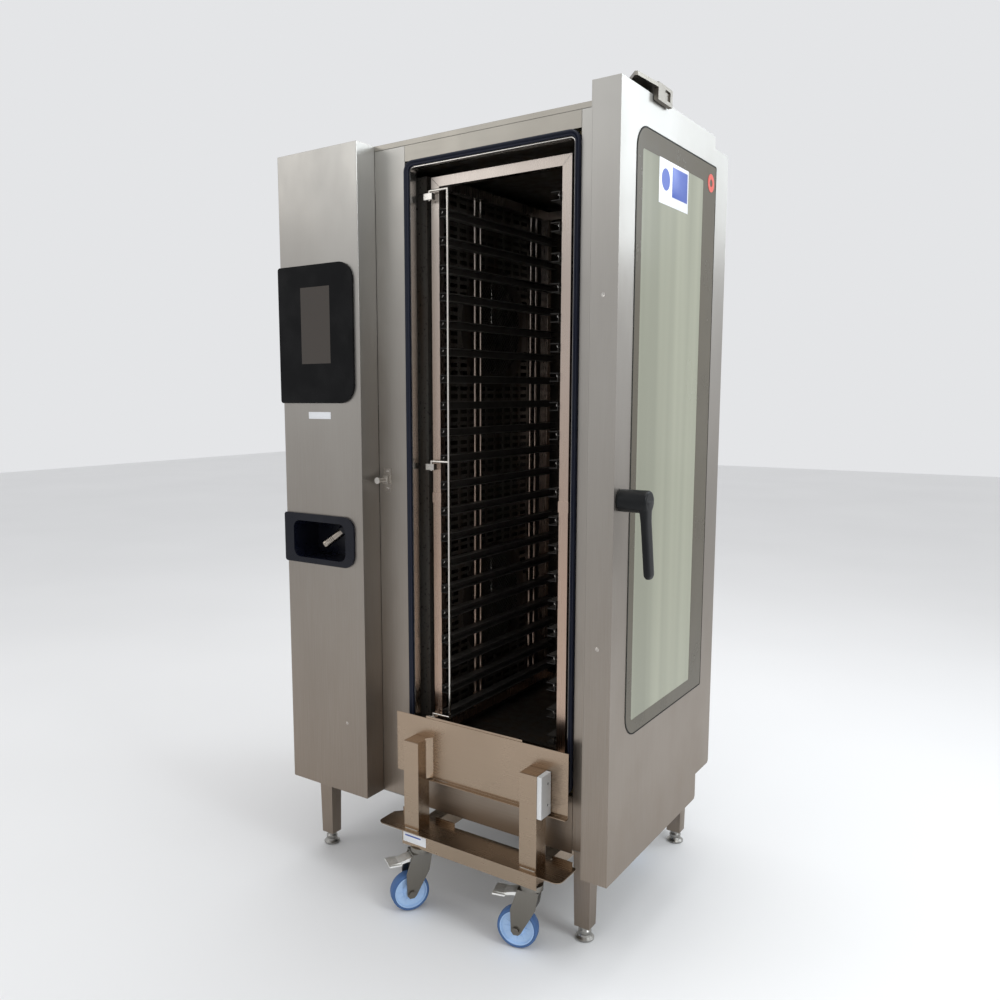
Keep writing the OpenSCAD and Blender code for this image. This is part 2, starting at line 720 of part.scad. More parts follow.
module buffer_block() place() color("white") difference() {
    box(804, 816, -90, -46, 353, 455);
    for (z = [378, 430]) rod_x(808, 817, -58, z, 4);
}

// Front and rear frames, joined by the bars at the foot and the head, with the side rods
module rack_frame() place() color("silver") {
    tube = 20;
    for (y = [rack_y[0], rack_y[1] - tube]) {
        for (x = [post_l, post_r - post_w])
            box(x, x + post_w, y, y + tube, rack_b, rack_t);
        for (z = [rack_b, rack_t - post_w])
            box(post_l + post_w - eps, post_r - post_w + eps, y, y + tube, z, z + post_w);
    }
    for (x = [post_l, post_r - post_w], z = [rack_b, rack_t - post_w])
        box(x, x + post_w, rack_y[0] + tube - eps, rack_y[1] - tube + eps, z, z + post_w);
    for (x = [post_l + 6, post_r - 6], y = [235, 262, 530, 560])
        rod_z(rack_b + 5, rack_t - 5, x, y, 4);
    // Sleeves where the upper and lower halves of the front uprights meet
    for (x = [post_l, post_r - post_w])
        box(x - 1.5, x + post_w + 1.5, rack_y[0] - 1.5, rack_y[0] + tube + 1.5, 1050, 1076);
    // Short straps that tie the side rods to the tray rails
    for (i = [0 : levels - 1], y = [248, 545]) {
        z = top_level - i * pitch + 6;
        box(post_l + 3, rail_l - 1.5, y - 20, y + 20, z, z + 5);
        box(rail_r + 1.5, post_r - 3, y - 20, y + 20, z, z + 5);
    }
}

// One channel for each side of each level, open towards the tray
module tray_rail(side) {
    lip = 21;
    height = 20;
    mirror([side, 0, 0]) {
        box(-1.5, 0, 45, 615, 0, height);
        box(-eps, lip, 45, 615, 0, 1.5);
        box(-eps, lip, 45, 615, height - 1.5, height);
    }
}

module tray_rails() place() color("dimgray") for (i = [0 : levels - 1]) {
    z = top_level - i * pitch;
    translate([rail_l, 0, z]) tray_rail(0);
    translate([rail_r, 0, z]) tray_rail(1);
}

module drip_tray() place() color("silver") difference() {
    box(post_l + 2, post_r - 2, 64, 612, rack_b - 22, rack_b);
    box(post_l + 4, post_r - 4, 66, 610, rack_b - 20, rack_b + eps);
}

// Blocks on the left upright that the retainer's pins turn in
module retainer_clamps() place() color("silver") for (z = arm_z) difference() {
    box(post_l - 8, post_l + 18, hinge_rod[1] - 8, rack_y[0], z - 22, z - 6);
    rod_z(z - 23, z - 5, hinge_rod[0], hinge_rod[1], 3 + shaft_fit);
}

// Swinging rod that keeps the trays from sliding out, with one arm and pin at each clamp
module tray_retainer() place() color("silver") {
    reach = 54;
    r = 3;
    rod_z(arm_z[2], arm_z[0], hinge_rod[0] + reach, hinge_rod[1], r);
    for (z = arm_z) {
        rod_x(hinge_rod[0], hinge_rod[0] + reach, hinge_rod[1], z, r);
        rod_z(z - 24, z, hinge_rod[0], hinge_rod[1], r);
        translate([hinge_rod[0], hinge_rod[1], z]) sphere(r);
        translate([hinge_rod[0] + reach, hinge_rod[1], z]) sphere(r);
    }
}

// ---------- casters ----------

// Places a part of a front caster; before the turn the wheel trails towards -X
module swivel(at) translate([at[0], at[1], 0]) rotate([0, 0, at[2]]) children();

module caster_fork(at) swivel(at) {
    cheek_y = 21;
    rod_z(caster_top - 14, caster_top - 0.5, 0, 0, 28);
    box(-30, 22, -cheek_y - 3, cheek_y + 3, caster_top - 18, caster_top - 13);
    for (s = [-1, 1]) along_y(s * cheek_y - 1.5, s * cheek_y + 1.5) polygon([
        [-30, caster_top - 14], [22, caster_top - 14], [14, 118], [-trail + 12, axle_z - 6],
        [-trail + 6, axle_z - 12], [-trail - 6, axle_z - 12], [-trail - 12, axle_z - 4],
        [-trail - 14, 112]
    ]);
    rod_y(-cheek_y - 6, cheek_y + 6, -trail, axle_z, 6);
    for (s = [-1, 1]) translate([-trail, s * (cheek_y + 4) + 2.5, axle_z]) rotate([90, 0, 0])
        cylinder(h = 5, r = 9.5, $fn = 6);
    // Pivot of the brake pedal
    rod_y(-cheek_y - 1, cheek_y + 1, -22, caster_top - 28, 3);
}

module caster_fork_left() place() color("lightgray") caster_fork(caster_l);

module caster_fork_right() place() color("lightgray") caster_fork(caster_r);

// Pressed pedal over the wheel, with a toe that points the way the wheel trails
module brake_pedal(at) swivel(at) {
    z = caster_top - 28;
    difference() {
        union() {
            along_y(-17, 17) polygon([
                [-14, z + 4], [-22, z + 7], [-42, z + 4], [-66, z - 3], [-toe_reach, z - 4],
                [-toe_reach, z - 8], [-64, z - 9], [-42, z - 4], [-30, z - 6], [-14, z - 6]
            ]);
            box(-toe_reach, -60, -toe_half, toe_half, z - 8, z - 4);
        }
        rod_y(-22, 22, -22, z, 3 + shaft_fit);
    }
}

module brake_pedal_left() place() color("white") brake_pedal(caster_l);

module brake_pedal_right() place() color("white") brake_pedal(caster_r);

// Fixed forks under the back of the runners
module rear_caster_forks() place() color("lightgray") for (at = rear_wheels)
    translate([at[0], at[1], 0]) {
        box(-26, 26, -32, 32, caster_top - 18, caster_top);
        for (s = [-1, 1]) along_x(s * 21 - 1.5, s * 21 + 1.5) polygon([
            [-30, caster_top - 17], [30, caster_top - 17], [11, axle_z - 6], [6, axle_z - 12],
            [-6, axle_z - 12], [-11, axle_z - 6]
        ]);
        rod_x(-26, 26, 0, axle_z, 6);
    }

// Disc wheel with a soft tread, turning on a 12 mm axle along Z
module wheel() {
    rotate_extrude() polygon([
        [6 + shaft_fit, -15], [16, -15], [18, -10], [wheel_r - 14, -10], [wheel_r - 11, -15],
        [wheel_r - 3, -15], [wheel_r, -11], [wheel_r, 11], [wheel_r - 3, 15], [wheel_r - 11, 15],
        [wheel_r - 14, 10], [18, 10], [16, 15], [6 + shaft_fit, 15]
    ]);
}

module front_wheel(at) swivel(at) translate([-trail, 0, axle_z]) rotate([90, 0, 0]) wheel();

module front_wheel_left() place() color("lightsteelblue") front_wheel(caster_l);

module front_wheel_right() place() color("lightsteelblue") front_wheel(caster_r);

module rear_wheel(at) translate([at[0], at[1], axle_z]) rotate([0, 90, 0]) wheel();

module rear_wheel_left() place() color("lightsteelblue") rear_wheel(rear_wheels[0]);

module rear_wheel_right() place() color("lightsteelblue") rear_wheel(rear_wheels[1]);

// ---------- drawing ----------

left_side_panel();
right_side_panel();
rear_panel();
top_cover();
bottom_pan();
front_stiles();
front_top_rail();
lower_front_panel();
console_cover();
cavity_liner();
cavity_front_frame();
door_gasket();
insulation();
fan_baffle();
fan_motors();
fan_rotor_upper();
fan_rotor_lower();
heating_elements();
water_injectors();
legs();
levelling_feet();
display_bezel();
display_screen();
control_boards();
shower_recess();
hand_shower();
door_catch();
panel_screws();
hinge_bases();
hinge_arms();
exhaust_stub();
drain_pipe();
water_inlets();
cable_gland();
door_outer_skin();
door_inner_skin();
door_outer_glass();
door_inner_glass();
door_slide_rails();
door_screws();
door_handle();
latch_spindle();
trolley_chassis();
trolley_posts();
trolley_shield();
buffer_block();
rack_frame();
tray_rails();
drip_tray();
retainer_clamps();
tray_retainer();
caster_fork_left();
caster_fork_right();
brake_pedal_left();
brake_pedal_right();
rear_caster_forks();
front_wheel_left();
front_wheel_right();
rear_wheel_left();
rear_wheel_right();
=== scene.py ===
import math

import bmesh
import bpy
from mathutils import Matrix, Vector


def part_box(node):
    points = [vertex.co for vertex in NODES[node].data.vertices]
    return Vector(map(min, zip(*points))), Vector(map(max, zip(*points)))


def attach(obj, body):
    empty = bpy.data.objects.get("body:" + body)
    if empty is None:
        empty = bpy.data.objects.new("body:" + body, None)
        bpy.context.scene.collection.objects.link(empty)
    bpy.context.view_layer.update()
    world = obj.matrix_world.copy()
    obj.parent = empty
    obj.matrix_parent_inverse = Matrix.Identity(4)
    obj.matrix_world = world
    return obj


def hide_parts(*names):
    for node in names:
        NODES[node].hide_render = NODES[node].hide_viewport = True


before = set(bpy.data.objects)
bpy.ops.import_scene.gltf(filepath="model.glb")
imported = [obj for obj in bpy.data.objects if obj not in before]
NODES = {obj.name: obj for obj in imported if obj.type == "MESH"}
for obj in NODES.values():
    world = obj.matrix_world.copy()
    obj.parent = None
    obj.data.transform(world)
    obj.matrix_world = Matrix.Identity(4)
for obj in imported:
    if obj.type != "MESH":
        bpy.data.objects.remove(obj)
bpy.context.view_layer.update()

MM = 0.001

# ---------- places, all read from the CAD nodes ----------

# Height of the top cover over the zero level of the CAD's own millimetres, in metres
TOP = 1.942
CORNER = Vector((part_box("left_side_panel")[0].x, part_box("front_stiles")[0].y,
                 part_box("top_cover")[1].z - TOP))


def at(x, y, z):
    """A point in the CAD's millimetres: from the cabinet's left side, its front face and TOP."""
    return CORNER + Vector((x, y, z)) * MM


def span(node):
    """Lowest and highest corner of a node, in those same millimetres."""
    lo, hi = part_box(node)
    return (lo - CORNER) / MM, (hi - CORNER) / MM


# ---------- material building ----------

def new_material(name, base, rough, metal=0.0, **sockets):
    """A principled material; returns it with its tree, its shader and its object coordinates."""
    mat = bpy.data.materials.new(name)
    mat.use_nodes = True
    tree = mat.node_tree
    shader = tree.nodes["Principled BSDF"]
    shader.inputs["Base Color"].default_value = (*base, 1.0)
    shader.inputs["Roughness"].default_value = rough
    shader.inputs["Metallic"].default_value = metal
    for key, value in sockets.items():
        shader.inputs[key.replace("_", " ")].default_value = value
    place = tree.nodes.new("ShaderNodeTexCoord")
    return mat, tree, shader, place.outputs["Object"]


def noise(tree, coords, stretch, scale, detail=4.0):
    """Noise whose grain is stretched by the three factors of stretch."""
    mapping = tree.nodes.new("ShaderNodeMapping")
    mapping.inputs["Scale"].default_value = stretch
    tree.links.new(coords, mapping.inputs["Vector"])
    node = tree.nodes.new("ShaderNodeTexNoise")
    node.inputs["Scale"].default_value = scale
    node.inputs["Detail"].default_value = detail
    tree.links.new(mapping.outputs["Vector"], node.inputs["Vector"])
    return node.outputs["Fac"]


def remap(tree, value, low, high, to_low, to_high):
    """Carries the range low to high onto to_low to to_high."""
    node = tree.nodes.new("ShaderNodeMapRange")
    names = ("From Min", "From Max", "To Min", "To Max")
    for key, number in zip(names, (low, high, to_low, to_high)):
        node.inputs[key].default_value = number
    tree.links.new(value, node.inputs["Value"])
    return node.outputs["Result"]


def mix(tree, factor, first, second):
    """Colour mix; first and second are colours or sockets."""
    node = tree.nodes.new("ShaderNodeMix")
    node.data_type = "RGBA"
    tree.links.new(factor, node.inputs["Factor"])
    for slot_name, colour in (("A", first), ("B", second)):
        socket = [s for s in node.inputs if s.name == slot_name and s.type == "RGBA"][0]
        if isinstance(colour, tuple):
            socket.default_value = (*colour, 1.0)
        else:
            tree.links.new(colour, socket)
    return [s for s in node.outputs if s.type == "RGBA"][0]


def add(tree, first, second):
    """The sum of two sockets."""
    node = tree.nodes.new("ShaderNodeMath")
    node.operation = "ADD"
    tree.links.new(first, node.inputs[0])
    tree.links.new(second, node.inputs[1])
    return node.outputs["Value"]


def bump(tree, shader, height, strength, distance):
    """Fine relief from a height socket."""
    node = tree.nodes.new("ShaderNodeBump")
    node.inputs["Strength"].default_value = strength
    node.inputs["Distance"].default_value = distance
    tree.links.new(height, node.inputs["Height"])
    tree.links.new(node.outputs["Normal"], shader.inputs["Normal"])


def heights(tree, coords):
    """The height part of the coordinates."""
    split = tree.nodes.new("ShaderNodeSeparateXYZ")
    tree.links.new(coords, split.inputs["Vector"])
    return split.outputs["Z"]


FINE, LONG = 1.0, 0.012
GRAIN = {"x": (LONG, FINE, FINE), "y": (FINE, LONG, FINE), "z": (FINE, FINE, LONG)}


def brushed(name, top, shaded_foot, rough, grain="z", smudge=0.10, shade_z_range=(0.2, 1.9)):
    """Brushed stainless steel: fine grain and soft smudges, with painted shade that makes it darker
    and warmer towards the bottom.
    """
    mat, tree, shader, coords = new_material(name, top, rough, 1.0, Anisotropic=0.7)
    brush = noise(tree, coords, GRAIN[grain], 900.0, 3.0)
    clouds = noise(tree, coords, (1.0, 1.0, 0.45), 3.2, 5.0)
    wipes = noise(tree, coords, (1.0, 1.0, 0.7), 9.0, 4.0)
    # Painted shade: the colour turns darker and warmer lower down, over the given height range.
    painted_shade_level = remap(tree, heights(tree, coords), *shade_z_range, 1.0, 0.0)
    tone = mix(tree, painted_shade_level, top, shaded_foot)
    dull = tuple(c * 0.72 for c in shaded_foot)
    stained = mix(tree, remap(tree, clouds, 0.40, 0.80, 0.0, 0.30), tone, dull)
    fine = tuple(min(1.0, c * 1.18) for c in top)
    lined = mix(tree, remap(tree, brush, 0.35, 0.75, 0.0, 0.12), stained, fine)
    tree.links.new(lined, shader.inputs["Base Color"])
    grain_rough = remap(tree, brush, 0.3, 0.7, rough - 0.02, rough + 0.03)
    total = add(tree, grain_rough, remap(tree, wipes, 0.4, 0.8, 0.0, smudge))
    tree.links.new(total, shader.inputs["Roughness"])
    bump(tree, shader, brush, 0.05, 0.0001)
    return mat


def moulded(name, colour, rough, grain=0.25, scale=420.0, **sockets):
    """Plastic, rubber or paint with a fine moulded grain and faint handling marks."""
    mat, tree, shader, coords = new_material(name, colour, rough, 0.0, **sockets)
    skin = noise(tree, coords, (1.0, 1.0, 1.0), scale, 3.0)
    marks = noise(tree, coords, (1.0, 1.0, 1.0), 11.0, 5.0)
    worn = tuple(min(1.0, c * 0.72 + 0.012) for c in colour)
    shade = mix(tree, remap(tree, marks, 0.45, 0.80, 0.0, 0.55), colour, worn)
    tree.links.new(shade, shader.inputs["Base Color"])
    handled = remap(tree, marks, 0.3, 0.8, rough - 0.04, rough + 0.12)
    tree.links.new(handled, shader.inputs["Roughness"])
    bump(tree, shader, skin, grain, 0.0002)
    return mat


def polished(name, colour, rough, **sockets):
    """Plated or polished metal with faint spots."""
    mat, tree, shader, coords = new_material(name, colour, rough, 1.0, **sockets)
    spots = noise(tree, coords, (1.0, 1.0, 1.0), 60.0, 4.0)
    dull = tuple(c * 0.6 for c in colour)
    spotted = mix(tree, remap(tree, spots, 0.52, 0.75, 0.0, 0.6), colour, dull)
    tree.links.new(spotted, shader.inputs["Base Color"])
    tree.links.new(remap(tree, spots, 0.3, 0.8, rough, rough + 0.22), shader.inputs["Roughness"])
    return mat


def browned(name, colour, rough, metal=0.9):
    """Cavity steel: heat-browned, with grease runs and dried spatter."""
    mat, tree, shader, coords = new_material(name, colour, rough, metal)
    runs = noise(tree, coords, (1.0, 1.0, 0.08), 38.0, 5.0)
    spatter = noise(tree, coords, (1.0, 1.0, 1.0), 170.0, 2.0)
    amber = (0.085, 0.050, 0.026)
    tone = mix(tree, remap(tree, runs, 0.42, 0.72, 0.0, 0.75), colour, amber)
    soot = (0.012, 0.010, 0.009)
    spattered = mix(tree, remap(tree, spatter, 0.60, 0.72, 0.0, 0.8), tone, soot)
    tree.links.new(spattered, shader.inputs["Base Color"])
    greased = remap(tree, runs, 0.3, 0.75, rough - 0.08, rough + 0.22)
    tree.links.new(greased, shader.inputs["Roughness"])
    bump(tree, shader, spatter, 0.25, 0.0004)
    return mat


def rail_material():
    """Tray rails: dull grey steel, burnt dark at the ends that face the door."""
    steel, greasy, soot = (0.085, 0.078, 0.070), (0.050, 0.043, 0.036), (0.016, 0.014, 0.012)
    mat, tree, shader, coords = new_material("rails", steel, 0.42, 0.25)
    split = tree.nodes.new("ShaderNodeSeparateXYZ")
    tree.links.new(coords, split.inputs["Vector"])
    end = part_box("tray_rails")[0].y
    burnt = remap(tree, split.outputs["Y"], end + 0.002, end + 0.012, 1.0, 0.0)
    grease = noise(tree, coords, (1.0, 1.0, 1.0), 24.0, 4.0)
    tone = mix(tree, remap(tree, grease, 0.4, 0.8, 0.0, 0.7), steel, greasy)
    tree.links.new(mix(tree, burnt, tone, soot), shader.inputs["Base Color"])
    tree.links.new(remap(tree, grease, 0.3, 0.8, 0.30, 0.50), shader.inputs["Roughness"])
    return mat


def pane(name, colour, alpha):
    """Greasy tinted glass with faint vertical wipe bands."""
    mat, tree, shader, coords = new_material(
        name, colour, 0.06, 0.0, Alpha=alpha, Specular_IOR_Level=0.18)
    bands = noise(tree, coords, (1.0, 1.0, 0.03), 9.0, 2.0)
    film = noise(tree, coords, (1.0, 1.0, 0.4), 5.0, 5.0)
    pale = tuple(min(1.0, c * 1.22) for c in colour)
    deep = tuple(c * 0.82 for c in colour)
    banded = mix(tree, remap(tree, bands, 0.35, 0.65, 0.0, 1.0), deep, pale)
    tree.links.new(banded, shader.inputs["Base Color"])
    tree.links.new(remap(tree, film, 0.4, 0.8, 0.16, 0.34), shader.inputs["Roughness"])
    return mat


def wool_material():
    """Yellowish insulation with a fibrous surface."""
    mat, tree, shader, coords = new_material("mineral_wool", (0.50, 0.42, 0.20), 0.95)
    fibres = noise(tree, coords, (1.0, 0.2, 1.0), 160.0, 6.0)
    yellow = mix(tree, fibres, (0.32, 0.26, 0.12), (0.62, 0.54, 0.30))
    tree.links.new(yellow, shader.inputs["Base Color"])
    bump(tree, shader, fibres, 0.8, 0.002)
    return mat


# Steel colour at the top, and the darker, warmer colour at the bottom, which is painted shade.
COOL, WARM_SHADE = (0.46, 0.45, 0.425), (0.265, 0.215, 0.172)
# In each brushed steel the second colour is the painted shade at the bottom, and the last pair is
# that shade's height range.
M = {
    "stainless": brushed("stainless", COOL, WARM_SHADE, 0.34),
    "stainless_x": brushed("stainless_x", (0.38, 0.36, 0.32), WARM_SHADE, 0.34, "x"),
    "rear_steel": brushed("rear_steel", (0.34, 0.34, 0.33), (0.27, 0.26, 0.24), 0.42, "z", 0.16),
    "bright_steel": brushed(
        "bright_steel", (0.62, 0.60, 0.57), (0.46, 0.42, 0.37), 0.20, "z", 0.05),
    "trolley_steel": brushed(
        "trolley_steel", (0.40, 0.305, 0.225), (0.34, 0.265, 0.195), 0.24, "x", 0.14, (0.15, 0.5)),
    "rack_steel": brushed(
        "rack_steel", (0.50, 0.45, 0.41), (0.50, 0.36, 0.28), 0.24, "z", 0.08, (0.9, 1.8)),
    "foot_steel": polished("foot_steel", (0.34, 0.33, 0.31), 0.24),
    "caster_steel": brushed(
        "caster_steel", (0.24, 0.23, 0.21), (0.17, 0.155, 0.13), 0.32, "z", 0.12, (0.0, 0.25)),
    "pedal": polished("pedal", (0.92, 0.92, 0.89), 0.38),
    "chrome": polished("chrome", (0.70, 0.67, 0.62), 0.12),
    "spray_chrome": polished("spray_chrome", (0.34, 0.30, 0.26), 0.16),
    "brass": polished("brass", (0.62, 0.44, 0.16), 0.26),
    "cavity_steel": browned("cavity_steel", (0.085, 0.076, 0.066), 0.40, 0.75),
    "rail_steel": browned("rail_steel", (0.15, 0.14, 0.125), 0.36, 0.6),
    "rails": rail_material(),
    "hinge_steel": brushed("hinge_steel", (0.25, 0.23, 0.20), (0.25, 0.23, 0.20), 0.26, "y"),
    "heater": browned("heater", (0.060, 0.050, 0.046), 0.60),
    "gasket": moulded("gasket", (0.0035, 0.0065, 0.020), 0.42, 0.15, Specular_IOR_Level=0.30),
    "wool": wool_material(),
    "motor_paint": moulded("motor_paint", (0.030, 0.034, 0.038), 0.62, 0.5, 240.0),
    "black_gloss": moulded(
        "black_gloss", (0.0020, 0.0020, 0.0024), 0.16, 0.02, Specular_IOR_Level=0.12),
    "bay_plastic": moulded(
        "bay_plastic", (0.0035, 0.0042, 0.0095), 0.26, 0.05, Specular_IOR_Level=0.25),
    "screen": moulded("screen", (0.068, 0.059, 0.052), 0.14, 0.0, Specular_IOR_Level=0.15),
    "circuit_board": moulded("circuit_board", (0.012, 0.080, 0.028), 0.44, 0.4, 300.0),
    "black_plastic": moulded(
        "black_plastic", (0.0030, 0.0036, 0.0042), 0.38, 0.35, 600.0, Specular_IOR_Level=0.22),
    "white_plastic": moulded("white_plastic", (0.74, 0.75, 0.75), 0.36, 0.10),
    "wheel_disc": moulded("wheel_disc", (0.42, 0.60, 0.86), 0.38, 0.16),
    "wheel_tread": moulded("wheel_tread", (0.050, 0.125, 0.30), 0.58, 0.35),
    "label": moulded("label", (0.80, 0.81, 0.83), 0.30, 0.02),
    "label_blue": moulded("label_blue", (0.035, 0.085, 0.40), 0.30, 0.02),
    "label_red": moulded("label_red", (0.62, 0.055, 0.030), 0.30, 0.02),
    "border": moulded("border", (0.092, 0.080, 0.058), 0.22, 0.02, Specular_IOR_Level=0.15),
    "seal": moulded("seal", (0.006, 0.006, 0.005), 0.60, 0.20, Specular_IOR_Level=0.2),
    "door_glass": pane("door_glass", (0.30, 0.305, 0.235), 0.94),
    "inner_glass": pane("inner_glass", (0.22, 0.225, 0.17), 0.45),
}

# The material of each CAD node that no piece replaces
DRESS = {
    "stainless": "left_side_panel right_side_panel front_stiles console_cover legs "
                 "door_outer_skin door_inner_skin",
    "stainless_x": "top_cover front_top_rail lower_front_panel",
    "rear_steel": "rear_panel bottom_pan exhaust_stub drain_pipe door_slide_rails",
    "bright_steel": "cavity_front_frame water_injectors door_catch hinge_bases "
                    "latch_spindle retainer_clamps",
    "cavity_steel": "cavity_liner fan_rotor_upper fan_rotor_lower drip_tray",
    "rails": "tray_rails",
    "hinge_steel": "hinge_arms",
    "heater": "heating_elements",
    "wool": "insulation",
    "motor_paint": "fan_motors",
    "foot_steel": "levelling_feet",
    "black_gloss": "display_bezel",
    "bay_plastic": "shower_recess",
    "screen": "display_screen",
    "circuit_board": "control_boards",
    "brass": "water_inlets",
    "black_plastic": "cable_gland",
    "trolley_steel": "trolley_chassis trolley_posts trolley_shield",
    "white_plastic": "buffer_block",
    "rack_steel": "rack_frame",
    "chrome": "tray_retainer",
    "caster_steel": "caster_fork_left caster_fork_right rear_caster_forks",
    "pedal": "brake_pedal_left brake_pedal_right",
    "door_glass": "door_outer_glass",
    "inner_glass": "door_inner_glass",
}

# Width of the rounded edge that each folded or cast node shows, in millimetres
EDGES = {
    "console_cover": 1.6, "top_cover": 1.0, "front_stiles": 0.8, "door_outer_skin": 1.2,
    "legs": 1.2, "trolley_chassis": 0.8, "trolley_posts": 2.0, "trolley_shield": 0.8,
    "buffer_block": 1.2, "rack_frame": 1.0, "display_bezel": 1.0, "shower_recess": 1.2,
    "door_catch": 0.8, "hinge_arms": 1.0, "hinge_bases": 0.6, "caster_fork_left": 0.6,
    "caster_fork_right": 0.6, "rear_caster_forks": 0.6, "brake_pedal_left": 1.0,
    "brake_pedal_right": 1.0, "retainer_clamps": 0.8, "left_side_panel": 0.4,
    "right_side_panel": 0.4, "rear_panel": 0.4,
}


def soften(obj, width, angle=32.0):
    """Rounded edges from modifiers, so that the mesh itself stays as it came."""
    weld = obj.modifiers.new("weld", "WELD")
    weld.merge_threshold = 1e-5
    edge = obj.modifiers.new("edge", "BEVEL")
    edge.width = width * MM
    edge.segments = 2
    edge.limit_method = "ANGLE"
    edge.angle_limit = math.radians(angle)
    edge.use_clamp_overlap = True


def dress_cad_nodes():
    """Gives the CAD nodes their materials and edges."""
    for key, names in DRESS.items():
        for name in names.split():
            mesh = NODES[name].data
            mesh.materials.clear()
            mesh.materials.append(M[key])
    for name, width in EDGES.items():
        soften(NODES[name], width)


# ---------- mesh building ----------

def piece(name, bm, material, body, replaced=(), smooth=35.0):
    """Makes an object of bm, rides it on its body and hides the CAD nodes it replaces."""
    bmesh.ops.recalc_face_normals(bm, faces=bm.faces)
    mesh = bpy.data.meshes.new(name)
    bm.to_mesh(mesh)
    bm.free()
    for m in material if isinstance(material, tuple) else (material,):
        mesh.materials.append(M[m])
    obj = bpy.data.objects.new(name, mesh)
    bpy.context.scene.collection.objects.link(obj)
    if smooth:
        mesh.shade_smooth()
        mesh.set_sharp_from_angle(angle=math.radians(smooth))
    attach(obj, body)
    if replaced:
        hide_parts(*replaced)
    return obj


def frame_of(axis):
    """A turn that carries Z onto axis."""
    return Vector(axis).to_track_quat("Z", "Y").to_matrix().to_4x4()


def lathe(bm, profile, centre, axis, steps=48, index=0):
    """A closed profile of (radius, height) in millimetres, turned about axis through centre."""
    turn = Matrix.Translation(centre) @ frame_of(axis)
    rings = []
    for i in range(steps):
        a = 2 * math.pi * i / steps
        rings.append([bm.verts.new(turn @ Vector((r * math.cos(a), r * math.sin(a), h)))
                      for r, h in ((r * MM, h * MM) for r, h in profile)])
    for i in range(steps):
        here, there = rings[i], rings[(i + 1) % steps]
        for j in range(len(profile)):
            k = (j + 1) % len(profile)
            face = bm.faces.new((here[j], there[j], there[k], here[k]))
            face.material_index = index
    bmesh.ops.remove_doubles(bm, verts=[v for ring in rings for v in ring], dist=1e-6)


def block(bm, lo, hi, bevel=0.0, index=0):
    """A box between two corners with rounded edges."""
    made = bmesh.ops.create_cube(bm, size=1.0)["verts"]
    size = Vector(hi) - Vector(lo)
    middle = (Vector(hi) + Vector(lo)) / 2
    for v in made:
        v.co = Vector((v.co.x * size.x, v.co.y * size.y, v.co.z * size.z)) + middle
    edges = list({e for v in made for e in v.link_edges})
    for f in {f for v in made for f in v.link_faces}:
        f.material_index = index
    if bevel:
        bmesh.ops.bevel(bm, geom=edges, offset=bevel * MM, segments=2, affect="EDGES", profile=0.5)


def tube(bm, points, radius, sides=10, closed=False):
    """A round rod along points, with flat ends."""
    count = len(points)
    rings = []
    side = None
    for i, p in enumerate(points):
        before = points[(i - 1) % count] if closed or i else points[0]
        after = points[(i + 1) % count] if closed or i < count - 1 else points[-1]
        along = (after - before).normalized()
        if side is None:
            side = along.orthogonal().normalized()
        side = (side - along * side.dot(along)).normalized()
        other = along.cross(side)
        rings.append([bm.verts.new(p + (side * math.cos(a) + other * math.sin(a)) * radius * MM)
                      for a in (2 * math.pi * k / sides for k in range(sides))])
    for i in range(count if closed else count - 1):
        here, there = rings[i], rings[(i + 1) % count]
        for k in range(sides):
            bm.faces.new((here[k], here[(k + 1) % sides], there[(k + 1) % sides], there[k]))
    if not closed:
        bm.faces.new(rings[0])
        bm.faces.new(rings[-1])


def round_outline(a0, a1, b0, b1, radii, steps=8):
    """Points of a rectangle; radii go round from low-low by high-low and high-high to low-high."""
    centres = ((a0, b0, 1, 1, 180), (a1, b0, -1, 1, 270), (a1, b1, -1, -1, 0), (a0, b1, 1, -1, 90))
    points = []
    for (a, b, sa, sb, start), r in zip(centres, radii):
        for i in range(steps + 1):
            t = math.radians(start + 90 * i / steps)
            points.append((a + sa * r + r * math.cos(t), b + sb * r + r * math.sin(t)))
    return points


def band(bm, outer, inner, place, thick, index=0):
    """A flat ring between two outlines of equal length, thick millimetres deep."""
    loops = [[bm.verts.new(place(a, b, d)) for a, b in line]
             for d in (0.0, thick) for line in (outer, inner)]
    count = len(outer)
    for i in range(count):
        j = (i + 1) % count
        for p, q in ((0, 1), (1, 3), (3, 2), (2, 0)):
            corners = (loops[p][i], loops[p][j], loops[q][j], loops[q][i])
            bm.faces.new(corners).material_index = index


# ---------- cavity ----------

